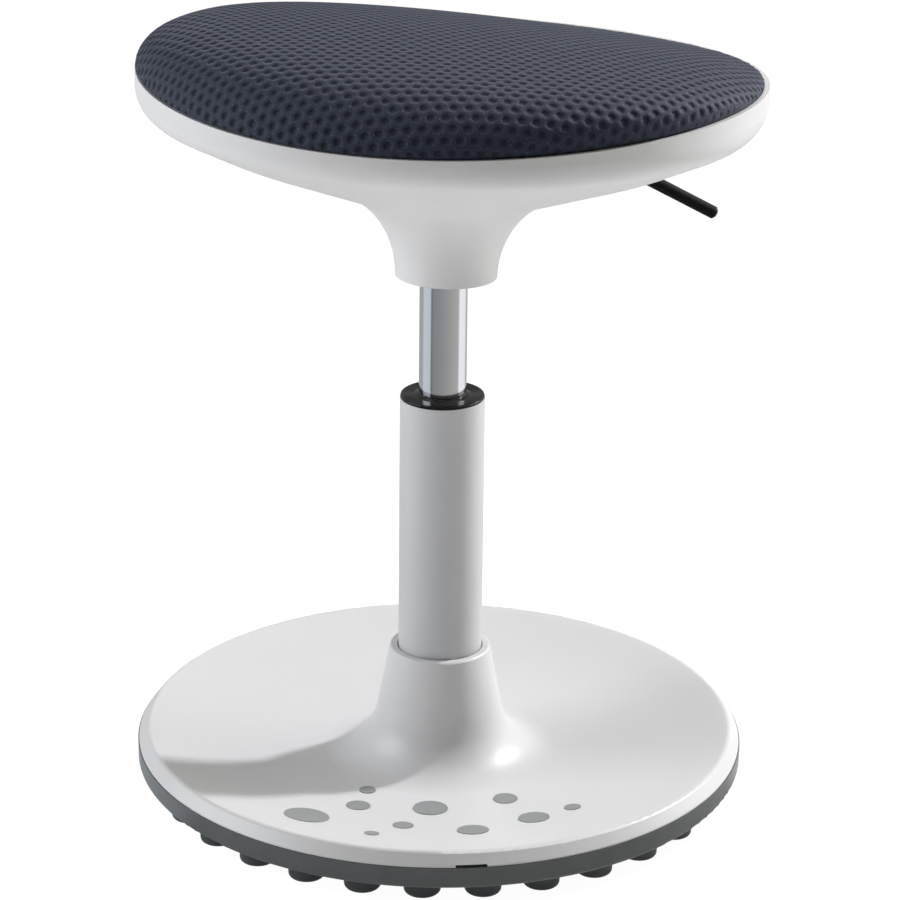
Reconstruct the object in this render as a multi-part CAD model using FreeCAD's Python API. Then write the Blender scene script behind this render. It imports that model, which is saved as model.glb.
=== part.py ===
import FreeCAD, Part
import math
import os

from FreeCAD import Vector

# Height-adjustable active stool: a round weighted base on a studded rubber sole,
# a column with a gas spring, and a saddle-shaped cushion in a moulded seat shell.
# The origin is on the floor under the middle of the base, and +Z points up.
# Lengths are in millimetres and angles in degrees. A heading is counted from +Y towards +X.

os.makedirs("parts", exist_ok=True)

# Clearances
running_gap = 0.05
fixed_gap = 0.1
seam_gap = 0.3
overrun = 2.0

# Rubber sole
sole_radius = 182.4
sole_wall = 4.0
sole_floor = 2.0
sole_side_height = 13.0
sole_round = 3.0
sole_hole_radius = 13.0
pan_lift = 0.8
pan_radius = 140.0
pan_wall_slant = 6.0
stud_height = 10.5
stud_radius = 11.0
stud_taper = 0.5
stud_round = 2.6
stud_inset = 18.0
stud_count = 30
first_stud_heading = 183.0

# Ballast plate and the hub on it
plate_gap = 2.0
plate_thickness = 5.8
plate_hole_radius = 16.0
hub_wall = 3.2
hub_height = 36.0

# Base shell
base_wall = 2.5
base_set_in = 0.6
base_edge_height = 0.7
base_bevel_depth = 5.9
base_bevel_height = 7.3
base_bevel_round = 3.0
dish_depth = 18.7
dish_bend_radius = 113.0
dish_round = 297.0
trumpet_foot_radius = 42.9
trumpet_round = 31.6
trumpet_height = 67.7
lip_width = 5.0
lip_round = 1.4
lip_gap = 0.6
collar_height = 3.0
collar_round = 0.6
boss_count = 6
boss_circle_radius = 108.0
boss_radius = 5.0
first_boss_heading = 0.0
base_screw_radius = 2.0
base_screw_depth = 4.0
screw_head_radius = 4.0
screw_head_height = 2.2
notch_heading = 174.0
notch_width = 18.0
notch_height = 1.4

# Round windows in the base shell, as shares of the sole's radius.
# Each row holds a heading, the distance from the middle and the radius of the hole.
window_shares = [
    (213.5, 0.417, 0.0270),
    (208.4, 0.540, 0.0390),
    (214.2, 0.742, 0.0722),
    (183.0, 0.481, 0.0563),
    (189.8, 0.649, 0.0335),
    (195.5, 0.777, 0.0242),
    (151.7, 0.457, 0.0398),
    (152.2, 0.653, 0.0505),
    (170.8, 0.691, 0.0506),
    (139.5, 0.662, 0.0275),
]
inlay_stand_out = 0.4
inlay_flange = 1.5
inlay_flange_thickness = 0.8

# Column tube and guide bush
column_radius = 25.0
column_wall = 2.0
column_length = 230.3
end_plate_lift = 13.4
end_plate_thickness = 4.0
bush_flange_thickness = 1.7
bush_flange_round = 0.6
bush_flange_set_in = 0.3
bush_rise = 1.1
bush_rise_width = 3.0
bush_length = 78.0
ridge_count = 4
ridge_width = 0.8
ridge_height = 0.35

# Gas spring
cylinder_radius = 14.0
cylinder_wall = 2.0
cylinder_length = 272.0
cylinder_rest_lift = 61.0
cylinder_end_wall = 3.0
cylinder_lip = 1.2
cylinder_lip_radius = 9.0
taper_length = 44.0
taper_loss = 1.1
pressure_tube_wall = 2.0
pressure_tube_gap = 0.6
gland_length = 22.0
rod_radius = 5.0
rod_end_radius = 4.0
rod_length = 172.0
rod_tail = 6.5
piston_length = 12.0
valve_length = 26.0
valve_flange = 6.0
pin_radius = 2.6
pin_head_radius = 4.0
pin_head_height = 2.5
pin_stand_out = 6.4
pin_tail = 3.0
pin_collar_thickness = 1.0
valve_seat = 1.5
valve_spring_length = 9.0
valve_spring_wall = 0.8

# Thrust bearing, bump stop and clip at the foot of the rod
race_radius = 13.0
race_thickness = 1.4
ball_radius = 2.0
ball_count = 10
ball_circle_radius = 9.0
cage_thickness = 1.6
cage_width = 5.4
stop_radius = 11.0
stop_length = 12.0
clip_radius = 8.0
clip_thickness = 1.2
clip_groove_depth = 0.8
clip_mouth = 5.0

# Seat shell
seat_radius = 179.7
seat_wall = 3.0
neck_drop = 62.2
neck_radius = 29.8
neck_straight = 0.4
neck_round = 56.0
seat_slope = 20.76
belly_radius = 138.2
belly_round = 170.0
seat_rim_slope = 25.7
seat_corner_round = 17.4
seat_rim_rise = 17.7
seat_shift = 1.3
seat_lean = 1.7
seat_lean_heading = 45.0
saddle_heading = 20.0
saddle_drop = 4.3
platform_width = 22.0
peg_count = 4
peg_circle_radius = 118.0
first_peg_heading = 20.0
peg_boss_radius = 8.0
peg_radius = 4.0
peg_depth = 12.0
peg_shank_radius = 3.0

# Seat plate, its screws and the taper socket
seat_plate_gap = 4.4
seat_plate_stand_out = 1.6
seat_plate_thickness = 3.5
socket_wall = 4.0
socket_length = 42.0
plate_screw_count = 4
plate_screw_inset = 10.0
first_plate_screw_heading = 30.0
plate_screw_radius = 3.0
plate_screw_head_radius = 5.5
plate_screw_head_height = 3.3
plate_screw_depth = 5.5

# Release lever
lever_heading = 75.0
lever_radius = 3.8
lever_reach = 165.0
lever_droop = 29.5
lever_bend_reach = 78.5
lever_bend_round = 20.0
lever_tail = 6.0
pivot_reach = 35.0
pivot_radius = 2.5
pivot_boss_radius = 6.5
pivot_boss_width = 9.4
ear_thickness = 3.0
ear_width = 16.0
ear_top = 7.0
pivot_pin_stand_out = 1.5
slot_side_gap = 3.0
slot_set_out = 3.5
slot_length = 34.0
lever_plug_length = 1.8
lever_plug_spigot = 8.0
lever_plug_bevel = 1.2
lever_bore_radius = 2.8

# Cushion board, foam and cover
board_drop = 1.9
board_thickness = 8.0
board_set_in = 2.4
cover_thickness = 3.5
foam_gap = 0.6
cushion_edge_width = 52.0
cushion_crown = 15.6
cushion_fall = 16.6
cushion_fall_heading = 30.0
cushion_dome = 10.8
cushion_cap_radius = 6.0

# Where the sections of the cushion lie: up its wall, up its rounded edge and across its top
wall_height_shares = [0, 0.25, 0.5, 0.75]
edge_height_shares = [0.22, 0.42, 0.60, 0.75, 0.86, 0.94, 0.985, 1.0]
dome_radius_shares = [0.9, 0.78, 0.64, 0.48, 0.30, 0.14]
edge_power = 2.25
arc_count = 8


def heading(angle):
    """Level unit vector that points along a heading."""
    return Vector(math.sin(math.radians(angle)), math.cos(math.radians(angle)), 0)


def at(angle, radius, height):
    """Point at a heading, a distance from the axis and a height."""
    point = heading(angle) * radius
    point.z = height
    return point


def headings(count, first):
    """Even headings around the axis."""
    return [first + index * 360.0 / count for index in range(count)]


def rod(radius, bottom, top, centre=Vector(0, 0, 0)):
    """Upright round bar between two heights."""
    return Part.makeCylinder(radius, top - bottom, Vector(centre.x, centre.y, bottom))


def ring(outer, inner, bottom, top):
    """Upright tube between two heights."""
    return rod(outer, bottom, top).cut(rod(inner, bottom - overrun, top + overrun))


def fuse(shapes):
    """One solid from shapes that touch or overlap."""
    return shapes[0].multiFuse(shapes[1:]).removeSplitter()


def inset_corners(corners, wall):
    """Open outline shifted by a wall to the left of its direction, roundings included."""
    points = [Vector(radius, 0, height) for radius, height, rounding in corners]
    sides = []
    for start, end in zip(points, points[1:]):
        along = (end - start).normalize()
        sides.append((start + Vector(-along.z, 0, along.x) * wall, along))
    moved = [sides[0][0]]
    for (point, along), (other, beyond) in zip(sides, sides[1:]):
        turn = along.x * beyond.z - along.z * beyond.x
        gap = other - point
        moved.append(point + along * ((gap.x * beyond.z - gap.z * beyond.x) / turn))
    last_point, last_along = sides[-1]
    length = (points[-1] - points[-2]).dot(last_along)
    moved.append(last_point + last_along * length)
    result = []
    for index, (point, corner) in enumerate(zip(moved, corners)):
        rounding = corner[2]
        if rounding and 0 < index < len(corners) - 1:
            along, beyond = sides[index - 1][1], sides[index][1]
            left_turn = along.x * beyond.z - along.z * beyond.x > 0
            rounding = max(rounding - wall, 0) if left_turn else rounding + wall
        result.append((point.x, point.z, rounding))
    return result


def rounded_outline(corners):
    """Closed outline beside the axis from (radius, height, rounding) corners."""
    points = [Vector(radius, 0, height) for radius, height, rounding in corners]
    edges = []
    stops = []
    for index, point in enumerate(points):
        rounding = corners[index][2]
        if not rounding:
            stops.append((point, None, point))
            continue
        back = (points[index - 1] - point).normalize()
        ahead = (points[(index + 1) % len(points)] - point).normalize()
        half = back.getAngle(ahead) / 2
        reach = rounding / math.tan(half)
        middle = point + (back + ahead).normalize() * (rounding / math.sin(half) - rounding)
        stops.append((point + back * reach, middle, point + ahead * reach))
    for index, (start, middle, end) in enumerate(stops):
        if middle:
            edges.append(Part.Arc(start, middle, end).toShape())
        following = stops[(index + 1) % len(stops)][0]
        if end.distanceToPoint(following) > 1e-6 * (end.Length + following.Length):
            edges.append(Part.makeLine(end, following))
    return Part.Wire(edges)


def turned(corners):
    """Solid turned about the axis from an outline beside it."""
    face = Part.Face(rounded_outline(corners))
    solid = face.revolve(Vector(0, 0, 0), Vector(0, 0, 1), 360)
    return solid if solid.Volume > 0 else solid.reversed()


def save(name, shape):
    """Write one sub-part."""
    shape.exportStep(os.path.join("parts", name + ".step"))


# Heights that follow from the sizes above
stud_circle_radius = sole_radius - stud_inset
base_radius = sole_radius - base_set_in
sole_top = stud_height + sole_side_height
plate_bottom = pan_lift + sole_floor
plate_top = plate_bottom + plate_thickness
base_edge = sole_top + seam_gap
base_shoulder = base_edge + base_edge_height + base_bevel_height
dish_floor = base_shoulder - dish_depth
trumpet_top = dish_floor + trumpet_height
column_top = plate_top + column_length
end_plate_bottom = plate_top + end_plate_lift
bearing_bottom = end_plate_bottom + end_plate_thickness
ball_height = bearing_bottom + race_thickness + ball_radius + running_gap
upper_race_bottom = ball_height + ball_radius + running_gap
rod_foot = upper_race_bottom + race_thickness
piston_bottom = rod_foot + rod_length
cylinder_bottom = rod_foot + stop_length + cylinder_rest_lift
cylinder_top = cylinder_bottom + cylinder_length
pin_top = cylinder_top + pin_stand_out
lever_height = pin_top + seam_gap + lever_radius
seat_plate_top = cylinder_top + seat_plate_stand_out
platform_height = seat_plate_top - seat_plate_thickness
neck_height = platform_height - neck_drop
seat_rise = math.tan(math.radians(seat_slope))
neck_bend = neck_height + neck_straight + neck_round * math.tan(math.radians(90 - seat_slope) / 2)
belly_height = neck_bend + seat_rise * (belly_radius - neck_radius)
seat_rim_climb = math.tan(math.radians(seat_rim_slope)) * (seat_radius - belly_radius)
seat_corner_height = belly_height + seat_rim_climb
seat_rim_height = seat_corner_height + seat_rim_rise
seat_floor = neck_bend + seat_wall / math.cos(math.radians(seat_slope))
seat_plate_radius = neck_radius + (platform_height - seat_floor) / seat_rise - seat_plate_gap
plate_screw_circle_radius = seat_plate_radius - plate_screw_inset
board_height = seat_corner_height - board_drop
board_top = board_height + board_thickness
board_radius = seat_radius - seat_corner_round + board_set_in
cushion_edge = seat_radius - seat_wall - seam_gap


def tilt(shape):
    """Lean a piece of the seat over the top of the column and set it aside a little."""
    leaned = shape.copy()
    toward = heading(seat_lean_heading)
    leaned.rotate(Vector(0, 0, neck_height), Vector(-toward.y, toward.x, 0), seat_lean)
    leaned.translate(Vector(seat_shift, 0, 0))
    return leaned


def rubber_sole():
    """Rubber pan that holds the ballast plate low between the studs."""
    return turned([
        (sole_hole_radius, pan_lift, 0),
        (pan_radius, pan_lift, sole_round),
        (pan_radius + pan_wall_slant, stud_height, 0),
        (sole_radius, stud_height, sole_round),
        (sole_radius, sole_top, 0),
        (sole_radius - sole_wall, sole_top, 0),
        (sole_radius - sole_wall, stud_height + sole_floor, 0),
        (pan_radius + pan_wall_slant - sole_wall, stud_height + sole_floor, 0),
        (pan_radius - sole_wall, plate_bottom, 0),
        (sole_hole_radius, plate_bottom, 0),
    ])


def sole_studs():
    """Rubber studs under the rim of the sole, which the stool stands on."""
    stud = turned([
        (0, 0, 0),
        (stud_radius - stud_taper, 0, stud_round),
        (stud_radius, stud_height, 0),
        (0, stud_height, 0),
    ])
    studs = []
    for angle in headings(stud_count, first_stud_heading):
        one = stud.copy()
        one.translate(at(angle, stud_circle_radius, 0))
        studs.append(one)
    return Part.makeCompound(studs)


def ballast_plate():
    """Steel disc with countersunk holes for the screws of the base shell."""
    outer = pan_radius - sole_wall - plate_gap
    plate = ring(outer, plate_hole_radius, plate_bottom, plate_top)
    for angle in headings(boss_count, first_boss_heading):
        place = at(angle, boss_circle_radius, 0)
        shank = base_screw_radius + fixed_gap
        head = screw_head_radius + fixed_gap
        plate = plate.cut(rod(shank, plate_bottom - overrun, plate_top + overrun, place))
        plate = plate.cut(rod(head, plate_bottom - overrun, plate_bottom + screw_head_height, place))
    return plate


def base_screws():
    """Screws up through the ballast plate into the bosses of the base shell."""
    screws = []
    for angle in headings(boss_count, first_boss_heading):
        place = at(angle, boss_circle_radius, 0)
        head = rod(screw_head_radius, plate_bottom, plate_bottom + screw_head_height, place)
        shank = rod(base_screw_radius, plate_bottom, plate_top + base_screw_depth, place)
        screws.append(head.fuse(shank).removeSplitter())
    return Part.makeCompound(screws)


def column_hub():
    """Steel socket that is welded to the ballast plate and grips the column."""
    inner = column_radius + fixed_gap
    return ring(inner + hub_wall, inner, plate_top, plate_top + hub_height)


def base_outline():
    """Outer line of the base shell: lower edge, bevel, dish, trumpet and lip."""
    return [
        (base_radius, base_edge, 0),
        (base_radius, base_edge + base_edge_height, base_bevel_round / 2),
        (base_radius - base_bevel_depth, base_shoulder, base_bevel_round),
        (dish_bend_radius, dish_floor, dish_round),
        (trumpet_foot_radius, dish_floor, trumpet_round),
        (column_radius + lip_width, trumpet_top, 0),
    ]


def dish_layer(over, under):
    """Ring-shaped layer that follows the dish, between two depths under its top."""
    outside = base_outline()[2:-1]
    line = [outside[0][:2] + (0,), outside[1], outside[2][:2] + (0,)]
    return turned(inset_corners(line, over) + inset_corners(line, under)[::-1])


def base_shell():
    """Dished cover with a trumpet around the column, windows and a pry notch."""
    outside = base_outline()
    lip = outside[-1][:2] + (lip_round,)
    inside = inset_corners(outside[1:], base_wall)
    collar = column_radius + lip_gap
    collar_bottom = trumpet_top - collar_height
    collar_foot = inside[-2][0] + (inside[-1][0] - inside[-2][0]) * (
        (collar_bottom - inside[-2][1]) / (inside[-1][1] - inside[-2][1]))
    inner_lip = [(collar, trumpet_top, collar_round), (collar, collar_bottom, 0), (collar_foot, collar_bottom, 0)]
    inner_edge = (base_radius - base_wall, base_edge, 0)
    shell = turned(outside[:-1] + [lip] + inner_lip + inside[-2:0:-1] + [inner_edge])
    room = dish_layer(base_wall / 2, base_shoulder)
    for angle in headings(boss_count, first_boss_heading):
        place = at(angle, boss_circle_radius, 0)
        boss = rod(boss_radius, plate_top + seam_gap, base_shoulder, place)
        shell = shell.fuse(boss.common(room))
        hole = base_screw_radius + fixed_gap
        hole_top = plate_top + base_screw_depth + fixed_gap
        shell = shell.cut(rod(hole, plate_bottom, hole_top, place))
    for angle, distance_share, radius_share in window_shares:
        place = at(angle, distance_share * sole_radius, 0)
        shell = shell.cut(rod(radius_share * sole_radius, plate_top, trumpet_top, place))
    notch = Part.makeBox(notch_width, base_wall + overrun * 2, notch_height + overrun)
    notch.translate(Vector(-notch_width / 2, base_radius - base_wall - overrun, base_edge - overrun))
    notch.rotate(Vector(0, 0, 0), Vector(0, 0, 1), -notch_heading)
    return shell.cut(notch).removeSplitter()


def window_inlays():
    """Rubber discs that fill the windows from inside and stand out a little."""
    under = base_wall + seam_gap
    plug = dish_layer(-inlay_stand_out, under)
    brim = dish_layer(under, under + inlay_flange_thickness)
    inlays = []
    for angle, distance_share, radius_share in window_shares:
        radius = radius_share * sole_radius
        place = at(angle, distance_share * sole_radius, 0)
        disc = rod(radius - fixed_gap, 0, trumpet_top, place).common(plug)
        flange = rod(radius + inlay_flange, 0, trumpet_top, place).common(brim)
        inlays.append(disc.fuse(flange).removeSplitter())
    return Part.makeCompound(inlays)


def column_tube():
    """Steel tube that stands in the hub and carries the guide bush."""
    return ring(column_radius, column_radius - column_wall, plate_top, column_top)


def column_end_plate():
    """Steel disc in the foot of the column that the gas spring stands on."""
    outer = column_radius - column_wall - fixed_gap
    inner = rod_end_radius + running_gap
    return ring(outer, inner, end_plate_bottom, bearing_bottom)


def guide_bush():
    """Black sleeve in the column with a ridged flange over its top."""
    sleeve = column_radius - column_wall - fixed_gap
    flange = column_radius - bush_flange_set_in
    bore = cylinder_radius + running_gap
    flange_top = column_top + bush_flange_thickness
    bush = turned([
        (bore, column_top - bush_length, 0),
        (sleeve, column_top - bush_length, 0),
        (sleeve, column_top, 0),
        (flange, column_top, 0),
        (flange, flange_top, bush_flange_round),
        (bore + bush_rise_width, flange_top, 0),
        (bore, flange_top + bush_rise, 0),
    ])
    inner = bore + bush_rise_width + ridge_width
    step = (flange - inner - ridge_width) / ridge_count
    for index in range(ridge_count):
        start = inner + index * step
        crest = ring(start + ridge_width, start, flange_top - ridge_height, flange_top + ridge_height)
        bush = bush.fuse(crest)
    return bush.removeSplitter()


def gas_cylinder():
    """Chromed tube with a slight taper at its top, closed by end walls."""
    top_radius = cylinder_radius - taper_loss
    taper_bottom = cylinder_top - taper_length
    inner = cylinder_radius - cylinder_wall
    return turned([
        (cylinder_lip_radius, cylinder_bottom, 0),
        (cylinder_radius, cylinder_bottom, cylinder_lip / 2),
        (cylinder_radius, taper_bottom, 0),
        (top_radius, cylinder_top, 0),
        (pin_radius + fixed_gap * 2, cylinder_top, 0),
        (pin_radius + fixed_gap * 2, cylinder_top - cylinder_end_wall, 0),
        (top_radius - cylinder_wall, cylinder_top - cylinder_end_wall, 0),
        (inner, taper_bottom, 0),
        (inner, cylinder_bottom + cylinder_lip, 0),
        (cylinder_lip_radius, cylinder_bottom + cylinder_lip, 0),
    ])


# Inside of the gas spring
gland_bottom = cylinder_bottom + cylinder_lip
gland_top = gland_bottom + gland_length
valve_top = cylinder_top - cylinder_end_wall
valve_bottom = valve_top - valve_length
pressure_tube_radius = cylinder_radius - cylinder_wall - pressure_tube_gap
valve_radius = cylinder_radius - taper_loss - cylinder_wall - fixed_gap
valve_spring_radius = pin_radius + fixed_gap + valve_spring_wall
spring_bottom = valve_bottom + valve_seat
spring_top = spring_bottom + valve_spring_length


def rod_gland():
    """Guide and seal that close the foot of the cylinder around the rod."""
    outer = cylinder_radius - cylinder_wall - fixed_gap
    return ring(outer, rod_radius + running_gap, gland_bottom, gland_top)


def pressure_tube():
    """Inner tube that the piston runs in."""
    inner = pressure_tube_radius - pressure_tube_wall
    return ring(pressure_tube_radius, inner, gland_top, valve_bottom)


def valve_body():
    """Plug above the pressure tube with a stepped bore for the release pin and its spring."""
    bore = pin_radius + running_gap
    spring_bore = valve_spring_radius + fixed_gap
    room_top = spring_top + pin_collar_thickness + seam_gap
    return turned([
        (bore, valve_bottom, 0),
        (pressure_tube_radius, valve_bottom, 0),
        (pressure_tube_radius, valve_bottom + valve_flange, 0),
        (valve_radius, valve_bottom + valve_flange, 0),
        (valve_radius, valve_top, 0),
        (bore, valve_top, 0),
        (bore, room_top, 0),
        (spring_bore, room_top, 0),
        (spring_bore, spring_bottom, 0),
        (bore, spring_bottom, 0),
    ])


def valve_spring():
    """Small spring around the tail of the release pin."""
    inner = valve_spring_radius - valve_spring_wall
    return ring(valve_spring_radius, inner, spring_bottom, spring_top)


def release_pin():
    """Pin that the lever presses to open the valve, with a collar on its spring."""
    shank = rod(pin_radius, valve_bottom - pin_tail, pin_top)
    head = rod(pin_head_radius, pin_top - pin_head_height, pin_top)
    collar = rod(valve_spring_radius, spring_top, spring_top + pin_collar_thickness)
    return fuse([shank, head, collar])


def piston_rod():
    """Steel rod with a thin foot through the bearing and a groove for the clip."""
    foot_bottom = end_plate_bottom - rod_tail
    shaft = rod(rod_radius, rod_foot, piston_bottom)
    foot = rod(rod_end_radius, foot_bottom, rod_foot)
    stub = rod(rod_end_radius, piston_bottom, piston_bottom + piston_length)
    groove_top = end_plate_bottom - seam_gap + fixed_gap
    groove_bottom = groove_top - clip_thickness - fixed_gap * 2
    groove = ring(rod_radius, rod_end_radius - clip_groove_depth, groove_bottom, groove_top)
    return fuse([shaft, foot, stub]).cut(groove)


def piston():
    """Sealed disc at the top of the rod."""
    outer = pressure_tube_radius - pressure_tube_wall - running_gap
    return ring(outer, rod_end_radius + running_gap, piston_bottom, piston_bottom + piston_length)


def bump_stop():
    """Rubber ring around the rod that stops the cylinder at its lowest."""
    return ring(stop_radius, rod_radius + fixed_gap, rod_foot, rod_foot + stop_length)


def race(bottom):
    """Flat hardened ring of the thrust bearing."""
    inner = rod_end_radius + running_gap
    return ring(race_radius, inner, bottom, bottom + race_thickness)


def bearing_balls():
    """Ring of steel balls between the races."""
    balls = []
    for angle in headings(ball_count, 0):
        balls.append(Part.makeSphere(ball_radius, at(angle, ball_circle_radius, ball_height)))
    return Part.makeCompound(balls)


def ball_cage():
    """Thin ring that keeps the balls apart."""
    outer = ball_circle_radius + cage_width / 2
    inner = ball_circle_radius - cage_width / 2
    bottom = ball_height - cage_thickness / 2
    cage = ring(outer, inner, bottom, bottom + cage_thickness)
    for angle in headings(ball_count, 0):
        place = at(angle, ball_circle_radius, 0)
        pocket = ball_radius + running_gap
        cage = cage.cut(rod(pocket, bottom - overrun, bottom + cage_thickness + overrun, place))
    return cage


def rod_clip():
    """Spring clip in the groove of the rod, under the end plate."""
    top = end_plate_bottom - seam_gap
    inner = rod_end_radius - clip_groove_depth + fixed_gap
    clip = ring(clip_radius, inner, top - clip_thickness, top)
    mouth = Part.makeBox(clip_mouth, clip_radius + overrun, clip_thickness + overrun * 2)
    mouth.translate(Vector(-clip_mouth / 2, 0, top - clip_thickness - overrun))
    return clip.cut(mouth)


def seat_outline():
    """Outer line of the seat shell, from the neck up past the rim."""
    return [
        (neck_radius, neck_height, 0),
        (neck_radius, neck_bend, neck_round),
        (belly_radius, belly_height, belly_round),
        (seat_radius, seat_corner_height, seat_corner_round),
        (seat_radius, seat_rim_height + seat_corner_round, 0),
    ]


def saddle(angle, radius):
    """Height of the rim line at a heading and a distance from the axis."""
    across = radius / seat_radius
    turn = math.radians(2 * (angle - saddle_heading))
    return seat_rim_height - saddle_drop * across * across * math.cos(turn)


def saddle_curve(radius):
    """Closed curve that rises and falls with the rim at a distance from the axis."""
    points = [at(angle, radius, saddle(angle, radius)) for angle in range(0, 360, 15)]
    curve = Part.BSplineCurve()
    curve.interpolate(Points=points, PeriodicFlag=True)
    return curve.toShape()


def above_rim():
    """Ring-shaped space over the rim line, to trim the top of the seat shell."""
    inner = saddle_curve(seat_radius - seat_wall - overrun)
    outer = saddle_curve(seat_radius + overrun)
    surface = Part.makeRuledSurface(inner, outer)
    return surface.extrude(Vector(0, 0, seat_corner_round + saddle_drop * 2))


def lever_slot():
    """Long upright opening for the lever in the floor of the seat shell."""
    half = lever_radius + slot_side_gap
    bottom = neck_height
    top = board_height
    inner = lever_bend_reach + slot_set_out
    ends = [inner + half, inner + slot_length - half]
    slot = Part.makeBox(ends[1] - ends[0], half * 2, top - bottom, Vector(ends[0], -half, bottom))
    for reach in ends:
        slot = slot.fuse(rod(half, bottom, top, Vector(reach, 0, 0)))
    slot.rotate(Vector(0, 0, 0), Vector(0, 0, 1), 90 - lever_heading)
    return slot


def seat_shell():
    """Moulded shell with a trumpet neck, a platform for the steel plate and four sockets."""
    outside = seat_outline()
    inside = [corner for corner in reversed(inset_corners(outside, seat_wall))]
    shell = turned(outside + inside)
    solid = turned(outside + [(0, outside[-1][1], 0), (0, neck_height, 0)])
    bore = seat_plate_radius - platform_width
    platform = ring(seat_plate_radius + seat_wall, bore, neck_height, platform_height)
    shell = shell.fuse(platform.common(solid))
    for angle in headings(peg_count, first_peg_heading):
        place = at(angle, peg_circle_radius, 0)
        boss = rod(peg_boss_radius, neck_height, board_height - seam_gap, place).common(solid)
        shell = shell.fuse(boss)
        socket = rod(peg_radius + fixed_gap, board_height - peg_depth - fixed_gap, board_top, place)
        shell = shell.cut(socket)
    for angle in headings(plate_screw_count, first_plate_screw_heading):
        place = at(angle, plate_screw_circle_radius, 0)
        depth = platform_height - plate_screw_depth - fixed_gap
        shell = shell.cut(rod(plate_screw_radius + fixed_gap, depth, seat_plate_top, place))
    shell = shell.cut(above_rim())
    return tilt(shell).cut(lever_slot()).removeSplitter()


def pivot_place():
    """Middle of the lever's pivot."""
    return at(lever_heading, pivot_reach, lever_height)


def pivot_axis():
    """Direction of the pivot; turning by it lifts the outer end of the lever."""
    return heading(lever_heading + 90)


def pivot_bar(radius, length):
    """Round bar along the pivot, centred on the lever."""
    axis = pivot_axis()
    return Part.makeCylinder(radius, length, pivot_place() - axis * (length / 2), axis)


def seat_plate():
    """Steel disc that carries the seat shell, with two ears for the lever."""
    plate = rod(seat_plate_radius, platform_height, seat_plate_top)
    for angle in headings(plate_screw_count, first_plate_screw_heading):
        place = at(angle, plate_screw_circle_radius, 0)
        radius = plate_screw_radius + fixed_gap
        hole = rod(radius, platform_height - overrun, seat_plate_top + overrun, place)
        plate = plate.cut(hole)
    plate = tilt(plate)
    inside = pivot_boss_width / 2 + seam_gap
    ear_bottom = platform_height + seat_plate_thickness / 2
    ear_height = lever_height + ear_top - ear_bottom
    for side in (inside, -inside - ear_thickness):
        corner = Vector(pivot_reach - ear_width / 2, side, ear_bottom)
        ear = Part.makeBox(ear_width, ear_thickness, ear_height, corner)
        ear.rotate(Vector(0, 0, 0), Vector(0, 0, 1), 90 - lever_heading)
        plate = plate.fuse(ear)
    bore = pivot_bar(pivot_radius + fixed_gap, seat_plate_radius)
    hole = rod(cylinder_radius + socket_wall, neck_height, lever_height)
    return plate.cut(bore).cut(hole).removeSplitter()


def seat_plate_screws():
    """Screws that hold the steel plate on the platform of the seat shell."""
    screws = []
    for angle in headings(plate_screw_count, first_plate_screw_heading):
        place = at(angle, plate_screw_circle_radius, 0)
        shank = rod(plate_screw_radius, platform_height - plate_screw_depth, seat_plate_top, place)
        head_top = seat_plate_top + plate_screw_head_height
        head = rod(plate_screw_head_radius, seat_plate_top, head_top, place)
        screws.append(tilt(shank.fuse(head).removeSplitter()))
    return Part.makeCompound(screws)


def taper_socket():
    """Steel socket through the plate that grips the taper of the cylinder."""
    outer = cylinder_radius + socket_wall
    top = seat_plate_top
    bottom = top - socket_length
    lean = taper_loss / taper_length
    taper_bottom = cylinder_top - taper_length
    bottom_bore = cylinder_radius - lean * (bottom - taper_bottom)
    top_bore = cylinder_radius - lean * (top - taper_bottom)
    return turned([
        (bottom_bore, bottom, 0),
        (outer, bottom, 0),
        (outer, top, 0),
        (top_bore, top, 0),
    ])


def lever_direction():
    """Direction of the drooping part of the lever."""
    droop = math.radians(lever_droop)
    along = heading(lever_heading) * math.cos(droop)
    along.z = -math.sin(droop)
    return along


def lever_end():
    """Middle of the lever bar's outer end, where the plug's head meets it."""
    run = (lever_reach - lever_bend_reach) / math.cos(math.radians(lever_droop))
    return at(lever_heading, lever_bend_reach, lever_height) + lever_direction() * (run - lever_plug_length)


def lever():
    """Bent steel bar with a boss for its pivot and a bore for the end plug."""
    start = at(lever_heading, -lever_tail, lever_height)
    corner = at(lever_heading, lever_bend_reach, lever_height)
    outward = heading(lever_heading)
    down = lever_direction()
    half = outward.getAngle(down) / 2
    reach = lever_bend_round * math.tan(half)
    rise = lever_bend_round / math.cos(half) - lever_bend_round
    middle = corner + (down - outward).normalize() * rise
    path = Part.Wire([
        Part.makeLine(start, corner - outward * reach),
        Part.Arc(corner - outward * reach, middle, corner + down * reach).toShape(),
        Part.makeLine(corner + down * reach, lever_end()),
    ])
    section = Part.Wire([Part.makeCircle(lever_radius, start, outward)])
    bar = path.makePipeShell([section], True, False)
    bar = bar.fuse(pivot_bar(pivot_boss_radius, pivot_boss_width))
    bar = bar.cut(pivot_bar(pivot_radius + running_gap, pivot_boss_width + overrun))
    spigot = Part.makeCylinder(lever_bore_radius, lever_plug_spigot + fixed_gap, lever_end(), down * -1)
    return bar.cut(spigot).removeSplitter()


def lever_plug():
    """Bevelled plug in the outer end of the lever."""
    down = lever_direction()
    straight = lever_plug_length - lever_plug_bevel
    spigot = Part.makeCylinder(lever_bore_radius - fixed_gap, lever_plug_spigot, lever_end(), down * -1)
    head = Part.makeCylinder(lever_radius, straight, lever_end(), down)
    tip = Part.makeCone(lever_radius, lever_radius - lever_plug_bevel, lever_plug_bevel,
                        lever_end() + down * straight, down)
    return fuse([spigot, head, tip])


def lever_pin():
    """Pin that the lever turns on, through both ears of the plate."""
    ears = pivot_boss_width + (seam_gap + ear_thickness + pivot_pin_stand_out) * 2
    return pivot_bar(pivot_radius, ears)


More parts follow.
